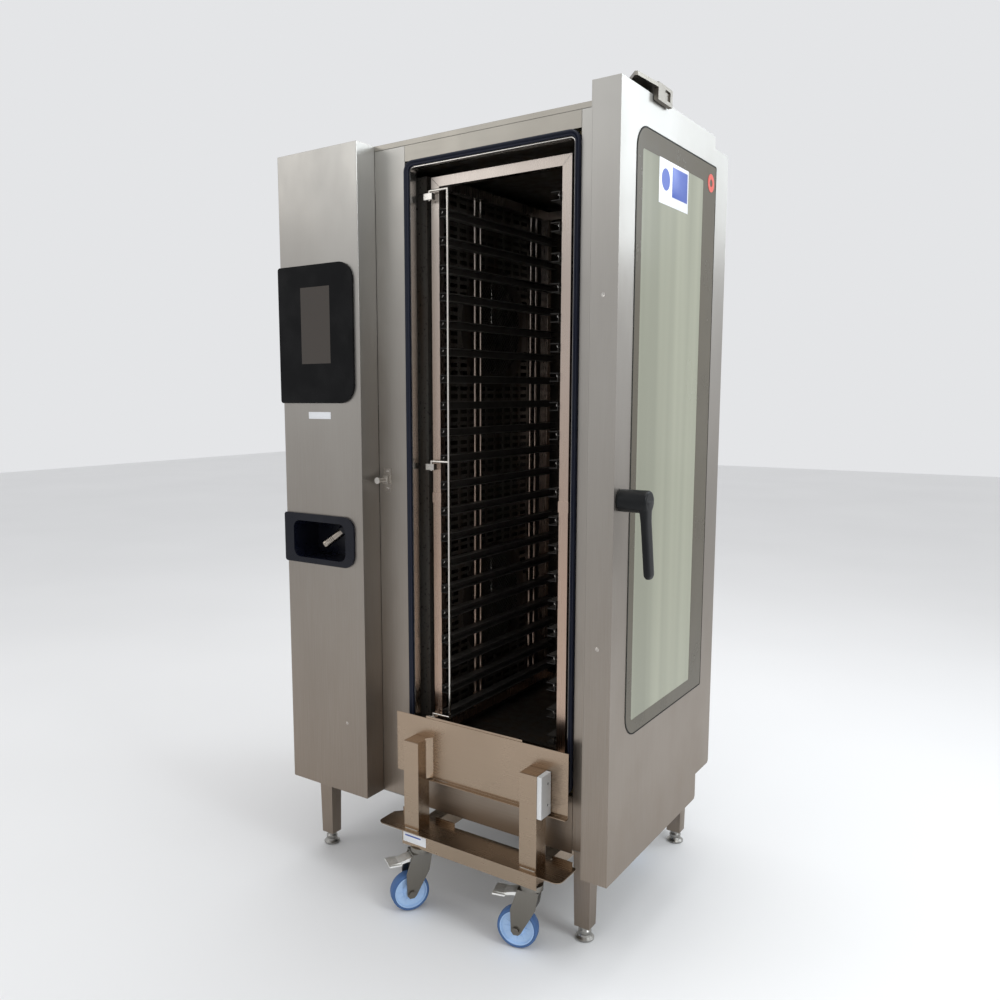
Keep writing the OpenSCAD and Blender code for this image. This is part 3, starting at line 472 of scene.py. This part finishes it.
def guide_plate():
    """The fan guide: rows of fine slots, and a round wire-mesh intake over each fan."""
    lo, hi = span("fan_baffle")
    x0, x1 = hi.x - 2, hi.x
    rotors = [span("fan_rotor_upper"), span("fan_rotor_lower")]
    fans = [((low.y + high.y) / 2, (low.z + high.z) / 2) for low, high in rotors]
    intake, slot_w, slot_h, col, row = 132.0, 34.0, 11.0, 45.0, 20.7
    ys, zs = [lo.y], [lo.z]
    y = lo.y + 55
    while y + slot_w < hi.y - 20:
        ys += [y, y + slot_w]
        y += col
    z = lo.z + 22
    while z + slot_h < hi.z - 12:
        zs += [z, z + slot_h]
        z += row
    ys.append(hi.y)
    zs.append(hi.z)

    def solid(i, j):
        if not (0 <= i < len(ys) - 1 and 0 <= j < len(zs) - 1):
            return False
        cy, cz = (ys[i] + ys[i + 1]) / 2, (zs[j] + zs[j + 1]) / 2
        gap = min(math.hypot(cy - fy, cz - fz) for fy, fz in fans)
        return not (i % 2 and j % 2 and gap > intake + 34) and gap > intake
    bm = bmesh.new()
    made = {}

    def corner(i, j, x):
        key = (i, j, x)
        if key not in made:
            made[key] = bm.verts.new(at(x, ys[i], zs[j]))
        return made[key]
    for i in range(len(ys) - 1):
        for j in range(len(zs) - 1):
            if not solid(i, j):
                continue
            for x in (x0, x1):
                bm.faces.new([corner(i + a, j + b, x) for a, b in ((0, 0), (1, 0), (1, 1), (0, 1))])
            for (di, dj), ends in (((-1, 0), ((0, 0), (0, 1))), ((1, 0), ((1, 0), (1, 1))),
                                   ((0, -1), ((0, 0), (1, 0))), ((0, 1), ((0, 1), (1, 1)))):
                if not solid(i + di, j + dj):
                    (a, b), (c, d) = ends
                    bm.faces.new([corner(i + a, j + b, x0), corner(i + c, j + d, x0),
                                  corner(i + c, j + d, x1), corner(i + a, j + b, x1)])
    for fy, fz in fans:
        rim = [(intake - 4, 0.2), (intake + 36, 0.2), (intake + 36, 1.2), (intake + 30, 2.4),
               (intake - 4, 2.4)]
        lathe(bm, rim, at(x1, fy, fz), (1, 0, 0), 64, 1)
        for slope in (1, -1):
            reach = intake - 2
            offset = -reach
            while offset < reach:
                half = math.sqrt(max(reach * reach - offset * offset, 1.0))
                u, v = math.sqrt(0.5), slope * math.sqrt(0.5)
                ends = [at(x1 + 0.8 + slope * 0.5, fy + u * s - v * offset, fz + v * s + u * offset)
                        for s in (-half, half)]
                tube(bm, ends, 0.9, 5)
                offset += 9.0
    for y in (lo.y, hi.y - 2):
        block(bm, at(lo.x, y, lo.z), at(x0 + 0.5, y + 2, hi.z))
    piece("guide_plate", bm, ("rail_steel", "cavity_steel"), "cabinet",
          ("fan_baffle",), 30.0)


def door_seal():
    """The door seal as a rubber profile: a high bead, a groove and a lower bead."""
    lo, hi = span("door_gasket")
    width = 13.0
    section = [(0.0, 0.0), (0.0, 5.2), (1.2, 7.4), (3.4, 8.4), (5.4, 7.4), (6.4, 5.0), (7.6, 4.4),
               (9.2, 6.0), (11.0, 6.4), (12.6, 5.2), (width, 3.0), (width, 0.0)]
    bm = bmesh.new()
    rings = []
    for inset, depth in section:
        r = 26.0 - inset
        line = round_outline(lo.x + inset, hi.x - inset, lo.z + inset, hi.z - inset, (r,) * 4)
        rings.append([bm.verts.new(at(x, hi.y - depth, z)) for x, z in line])
    count = len(rings[0])
    for k in range(len(rings)):
        here, there = rings[k], rings[(k + 1) % len(rings)]
        for i in range(count):
            j = (i + 1) % count
            bm.faces.new((here[i], here[j], there[j], there[i]))
    piece("door_seal", bm, "gasket", "cabinet", ("door_gasket",), 50.0)


# Tray levels of the rack and the distance between them, in millimetres
LEVELS, PITCH = 20, 67.3


def rail_hooks():
    """Bent wire hooks on the inner side of the rack's front uprights, one at each tray level."""
    lo, hi = span("rack_frame")
    _, rails = span("tray_rails")
    bm = bmesh.new()
    for i in range(LEVELS):
        z = rails.z - 20 - PITCH * i
        for x, way in ((lo.x + 25.5, 1), (hi.x - 25.5, -1)):
            y = lo.y + 3
            bends = ((-2, 10), (7, 10), (9, 11.5), (9.5, 15))
            tube(bm, [at(x + way * out, y, z + up) for out, up in bends], 1.0, 8)
    piece("rail_hooks", bm, "bright_steel", "trolley")


def rack_seams():
    """Ground weld lines at the mitres of the rack's front frame."""
    lo, hi = span("rack_frame")
    y = lo.y + 1.5 - 0.2
    bm = bmesh.new()
    for x, way in ((lo.x + 1.5, 1), (hi.x - 1.5, -1)):
        for z, up in ((hi.z, -1), (lo.z, 1)):
            ends = [at(x + way * q, y, z + up * q) for q in (1.5, 22.5)]
            tube(bm, ends, 0.45, 6)
    piece("rack_seams", bm, "bright_steel", "trolley")


# ---------- door ----------

def window_trim():
    """Dark border round the clear part of the outer pane, and the seal at the pane's edge."""
    lo, hi = span("door_outer_glass")
    clear = (lo.y + 30, lo.y + 380, lo.z + 35, hi.z - 45)
    face = hi.x
    steps = 10
    edge = round_outline(lo.y + 2.2, hi.y - 1.2, lo.z + 2.2, hi.z - 2.2, (48, 5, 5, 48), steps)
    inside = round_outline(*clear, (6, 4, 4, 6), steps)
    bm = bmesh.new()
    band(bm, edge, inside, lambda y, z, d: at(face + d, y, z), 0.25)
    piece("window_border", bm, "border", "door", smooth=20.0)
    bm = bmesh.new()
    outer = round_outline(lo.y - 0.6, hi.y + 0.6, lo.z - 0.6, hi.z + 0.6, (50, 6, 6, 50), steps)
    band(bm, outer, edge, lambda y, z, d: at(face + d, y, z), 0.7)
    piece("window_seal", bm, "seal", "door", smooth=20.0)


def handle():
    """One moulding: a round hub that runs into a flat lever leaning a little outwards."""
    lo, hi = span("door_handle")
    hub_x = (lo.x, hi.x - 10.5)
    y, z = (span("latch_spindle")[0].y + span("latch_spindle")[1].y) / 2, hi.z - 24
    bm = bmesh.new()
    length = hub_x[1] - hub_x[0]
    hub = [(0, 0), (22.4, 0), (23.6, 1.2), (23.6, length - 4), (22.2, length - 1.2),
           (19.5, length), (0, length)]
    lathe(bm, hub, at(hub_x[0], y, z), (1, 0, 0), 56)
    rings = []
    sections, points = 26, 28
    for i in range(sections + 1):
        t = i / sections
        drop = (z - lo.z - 1.5) * t
        flare = max(0.0, 1 - drop / 46) ** 2
        mid_x = hub_x[1] - 11 + (hi.x - hub_x[1] + 2.0) * t
        tip = max(0.0, (t - 0.94) / 0.06)
        half_x = (7.6 + 5 * flare) * (1 - 0.35 * tip * tip)
        half_y = (17.0 + 3 * flare - 1.5 * t) * (1 - 0.45 * tip * tip)
        ring = []
        for k in range(points):
            a = 2 * math.pi * k / points
            c, s = math.cos(a), math.sin(a)
            ring.append(bm.verts.new(at(mid_x + half_x * math.copysign(abs(c) ** 0.55, c),
                                        y + half_y * math.copysign(abs(s) ** 0.55, s), z - drop)))
        rings.append(ring)
    for here, there in zip(rings, rings[1:]):
        for k in range(points):
            j = (k + 1) % points
            bm.faces.new((here[k], here[j], there[j], there[k]))
    bm.faces.new(rings[0])
    bm.faces.new(rings[-1])
    obj = piece("handle_moulding", bm, "black_plastic", "handle",
                ("door_handle",), 0)
    remesh = obj.modifiers.new("join", "REMESH")
    remesh.mode = "VOXEL"
    remesh.voxel_size = 1.3 * MM
    remesh.use_smooth_shade = True
    relax = obj.modifiers.new("relax", "SMOOTH")
    relax.iterations = 5
    relax.factor = 0.5


def screw_head(bm, centre, axis, radius):
    """A domed head with a shallow round recess."""
    dome = [(0, 0.15), (radius * 0.30, 0.15), (radius * 0.42, 0.65), (radius * 0.80, 0.95),
            (radius, 0.45), (radius, -0.2), (0, -0.2)]
    lathe(bm, dome, centre, axis, 28)


def door_edge_screws():
    """The two fasteners in the door's front edge."""
    lo, hi = span("door_screws")
    bm = bmesh.new()
    for z in (lo.z + 4.5, hi.z - 4.5):
        screw_head(bm, at((lo.x + hi.x) / 2, hi.y, z), (0, -1, 0), 4.6)
    piece("door_edge_screws", bm, "bright_steel", "door", ("door_screws",), 30.0)


# ---------- plates and labels without print ----------

def plates():
    """Blank plates and a plain sticker where the object carries printed ones, and a red ring."""
    column = span("console_cover")[0].y
    bm = bmesh.new()
    block(bm, at(92, column - 0.9, 1264), at(170, column + 0.2, 1282), 0.3)
    piece("column_plate", bm, "label", "cabinet", smooth=30.0)
    front = span("trolley_posts")[0].y - 2
    bm = bmesh.new()
    block(bm, at(414, front - 0.8, 187), at(486, front + 0.3, 214), 0.3, 0)
    block(bm, at(420, front - 1.0, 203), at(470, front - 0.5, 207), 0.1, 1)
    piece("trolley_plate", bm, ("label", "label_blue"), "trolley", smooth=30.0)
    lo, hi = span("door_outer_glass")
    bm = bmesh.new()
    block(bm, at(hi.x - 0.1, 66, 1730), at(hi.x + 0.35, 234, 1823), 0.1, 0)
    block(bm, at(hi.x + 0.1, 138, 1751), at(hi.x + 0.5, 228, 1815), 0.1, 1)
    lathe(bm, [(0, 0), (23, 0), (23, 0.5), (0, 0.5)], at(hi.x + 0.1, 102, 1782), (1, 0, 0), 40, 1)
    lathe(bm, [(9, 0), (21, 0), (21, 0.8), (9, 0.8)], at(hi.x + 0.1, 380, 1824), (1, 0, 0), 40, 2)
    piece("door_plate", bm, ("label", "label_blue", "label_red"), "door",
          smooth=30.0)


# ---------- trolley and casters ----------

def weld(bm, start, end, radius=1.3):
    """A bead of small ripples between two points."""
    length = (end - start).length
    count = max(4, int(length / (3.0 * MM)))
    points = [start.lerp(end, i / count) + Vector((0, 0, 0.25 * MM * math.sin(i * 2.1)))
              for i in range(count + 1)]
    tube(bm, points, radius, 7)


def trolley_welds():
    """Weld beads on the posts and the shield, and the two screws of the buffer block."""
    lo, hi = span("trolley_posts")
    shield = span("trolley_shield")[0].y
    bm = bmesh.new()
    for x in (lo.x, lo.x + 46, hi.x - 46):
        weld(bm, at(x, hi.y - 2.6, 356), at(x, hi.y - 2.6, 452))
    for x in (lo.x, hi.x - 46):
        weld(bm, at(x + 3, lo.y + 0.2, 222.4), at(x + 43, lo.y + 0.2, 222.4), 1.6)
        weld(bm, at(x + 44, -84, 222.4), at(x + 44, -52, 222.4), 1.6)
    weld(bm, at(463, shield + 12, 350.6), at(520, shield + 12, 350.6), 1.1)
    piece("trolley_welds", bm, "bright_steel", "trolley")
    bm = bmesh.new()
    side = span("buffer_block")[1].x
    for z in (378, 430):
        screw_head(bm, at(side - 2.6, -58, z), (1, 0, 0), 3.8)
    piece("buffer_screws", bm, "black_plastic", "trolley", smooth=30.0)


# How far each front caster is swivelled from trailing straight to the left, in degrees
LEFT_TURN, RIGHT_TURN = 55.0, 15.0


def turned(degrees):
    """The direction of a front caster's axle."""
    return -math.sin(math.radians(degrees)), math.cos(math.radians(degrees)), 0.0


def caster_wheel(name, node, body, axis):
    """Moulded wheel: a pale ribbed disc with a round hub, and a darker tread."""
    lo, hi = span(node)
    centre = CORNER + (lo + hi) / 2 * MM
    r = (hi.z - lo.z) / 2
    tread = [(r - 7, -14), (r - 3.5, -14.5), (r - 1.2, -12.5), (r, -7), (r, 7),
             (r - 1.2, 12.5), (r - 3.5, 14.5), (r - 7, 14), (r - 8, 11), (r - 8, -11)]
    disc = [(r - 7.5, -13.5), (r - 9.5, -13.8), (r - 11.5, -8), (20, -6), (17, -10),
            (15, -14.5), (8, -14.5), (6.4, -13), (6.4, 13), (8, 14.5), (15, 14.5), (17, 10),
            (20, 6), (r - 11.5, 8), (r - 9.5, 13.8), (r - 7.5, 13.5)]
    bm = bmesh.new()
    lathe(bm, disc, centre, axis, 64, 0)
    lathe(bm, tread, centre, axis, 64, 1)
    turn = Matrix.Translation(centre) @ frame_of(axis)
    ribs, rib_height = 12, 7.0
    for side in (-1, 1):
        for i in range(ribs):
            a = 2 * math.pi * i / ribs
            out = Vector((math.cos(a), math.sin(a), 0))
            rise = Vector((0, 0, side * rib_height * MM))
            ends = [turn @ (out * (q * MM) + rise) for q in (18, r - 11)]
            tube(bm, ends, 0.8, 6)
    piece(name, bm, ("wheel_disc", "wheel_tread"), body, (node,), 40.0)


def nozzle():
    """Hand shower: a plated nozzle with five shallow grip grooves."""
    axis = Vector((0.6378, 0.4806, 0.6018))
    tip = at(131, -62, 927)
    rings = [(0, 0.6), (6.2, 0.6), (6.6, 0.0), (9.4, 0.0), (10.6, 1.6), (10.9, 4.0)]
    for k in range(5):
        h = 9 + 5.0 * k
        rings += [(10.9, h), (10.2, h + 1.2), (10.2, h + 2.4), (10.9, h + 3.6)]
    rings += [(10.9, 128), (0, 128)]
    bm = bmesh.new()
    lathe(bm, rings, tip, axis, 40)
    piece("shower_nozzle", bm, "spray_chrome", "shower", ("hand_shower",), 30.0)


def panel_screws():
    """The panel screws, each a domed head where the CAD has a plain one."""
    bm = bmesh.new()
    depth = span("rear_panel")[1].y
    width = span("right_side_panel")[1].x
    spindle = (span("latch_spindle")[0].z + span("latch_spindle")[1].z) / 2
    column = span("console_cover")[0].y
    for z in (spindle - 22, spindle + 21):
        screw_head(bm, at(303, -2.6, z), (0, -1, 0), 4.0)
    screw_head(bm, at(206, column, 449), (0, -1, 0), 4.4)
    for y in (120, 620):
        for z in (300, 1100, 1880):
            screw_head(bm, at(width, y, z), (1, 0, 0), 4.6)
            screw_head(bm, at(0, y, z), (-1, 0, 0), 4.6)
    for x in (40, 300, 600, 855):
        for z in (280, 1100, 1890):
            screw_head(bm, at(x, depth, z), (0, 1, 0), 4.6)
    piece("panel_screw_heads", bm, "bright_steel", "cabinet",
          ("panel_screws",), 30.0)


# ---------- stage ----------

def studio_floor():
    """A plain pale floor."""
    bm = bmesh.new()
    bmesh.ops.create_grid(bm, x_segments=1, y_segments=1, size=14.0)
    mesh = bpy.data.meshes.new("floor")
    bm.to_mesh(mesh)
    bm.free()
    floor = bpy.data.objects.new("floor", mesh)
    floor.location.z = -0.0005
    bpy.context.scene.collection.objects.link(floor)
    mat, tree, shader, coords = new_material("floor", (0.80, 0.80, 0.80), 0.62)
    soft = noise(tree, coords, (1.0, 1.0, 1.0), 0.8, 2.0)
    pale = mix(tree, soft, (0.77, 0.77, 0.77), (0.83, 0.83, 0.83))
    tree.links.new(pale, shader.inputs["Base Color"])
    mesh.materials.append(mat)


def studio_world():
    """Even pale light from all round, and colours shown without a film curve."""
    world = bpy.data.worlds.new("studio")
    world.use_nodes = True
    bpy.context.scene.world = world
    back = world.node_tree.nodes["Background"]
    back.inputs["Color"].default_value = (0.97, 0.98, 1.0, 1.0)
    back.inputs["Strength"].default_value = 0.80
    bpy.context.scene.view_settings.view_transform = "Standard"


def softbox(name, place, target, size, power, colour=(1.0, 1.0, 1.0)):
    """A soft rectangular light at place that faces target."""
    data = bpy.data.lights.new(name, "AREA")
    data.shape = "RECTANGLE"
    data.size, data.size_y = size
    data.energy = power
    data.color = colour
    light = bpy.data.objects.new(name, data)
    light.location = place
    light.rotation_mode = "QUATERNION"
    light.rotation_quaternion = (Vector(target) - Vector(place)).to_track_quat("-Z", "Y")
    bpy.context.scene.collection.objects.link(light)


def lights():
    """Four soft lights: two on the door's side, one overhead and one at the front left."""
    softbox("side", (1.95, 1.85, 2.7), (0.4, -0.3, 1.6), (0.8, 1.5), 17, (0.85, 0.93, 1.0))
    softbox("right", (3.1, -0.7, 2.5), (-0.1, -0.4, 1.2), (1.2, 1.7), 44, (0.90, 0.96, 1.0))
    softbox("overhead", (0.4, 0.3, 4.4), (0, 0, 0), (3.0, 3.0), 68)
    softbox("front_left", (-3.0, -3.3, 3.3), (0, 0, 1.2), (2.2, 1.6), 16, (1.0, 0.98, 0.95))


# The camera, as fitted to the straight edges in the photo: angles in radians, place from CORNER
CAMERA_TURN = (-0.6197300, -0.1299142, -0.0051421)
CAMERA_PLACE = (1.77685, -1.80179, 1.32831)
CAMERA_LENS, CAMERA_SHIFT = 32.254, (0.05255, 0.01063)


def camera():
    """The camera at the photo's angle."""
    yaw, pitch, roll = CAMERA_TURN
    forward = Vector((math.sin(yaw) * math.cos(pitch), math.cos(yaw) * math.cos(pitch),
                      math.sin(pitch)))
    right = Vector((math.cos(yaw), -math.sin(yaw), 0))
    up = right.cross(forward)
    level_right = right * math.cos(roll) + up * math.sin(roll)
    level_up = up * math.cos(roll) - right * math.sin(roll)
    turn = Matrix((level_right, level_up, -forward)).transposed().to_4x4()
    data = bpy.data.cameras.new("camera")
    data.sensor_width = 36.0
    data.lens = CAMERA_LENS
    data.shift_x, data.shift_y = CAMERA_SHIFT
    data.clip_start, data.clip_end = 0.05, 60.0
    cam = bpy.data.objects.new("camera", data)
    cam.matrix_world = Matrix.Translation(CORNER + Vector(CAMERA_PLACE)) @ turn
    bpy.context.scene.collection.objects.link(cam)
    bpy.context.scene.camera = cam


camera()
dress_cad_nodes()
guide_plate()
door_seal()
rail_hooks()
rack_seams()
window_trim()
handle()
door_edge_screws()
panel_screws()
plates()
trolley_welds()
caster_wheel("wheel_front_l", "front_wheel_left", "wheel_front_left", turned(LEFT_TURN))
caster_wheel("wheel_front_r", "front_wheel_right", "wheel_front_right", turned(RIGHT_TURN))
caster_wheel("wheel_rear_l", "rear_wheel_left", "wheel_rear_left", (1, 0, 0))
caster_wheel("wheel_rear_r", "rear_wheel_right", "wheel_rear_right", (1, 0, 0))
nozzle()
studio_floor()
studio_world()
lights()
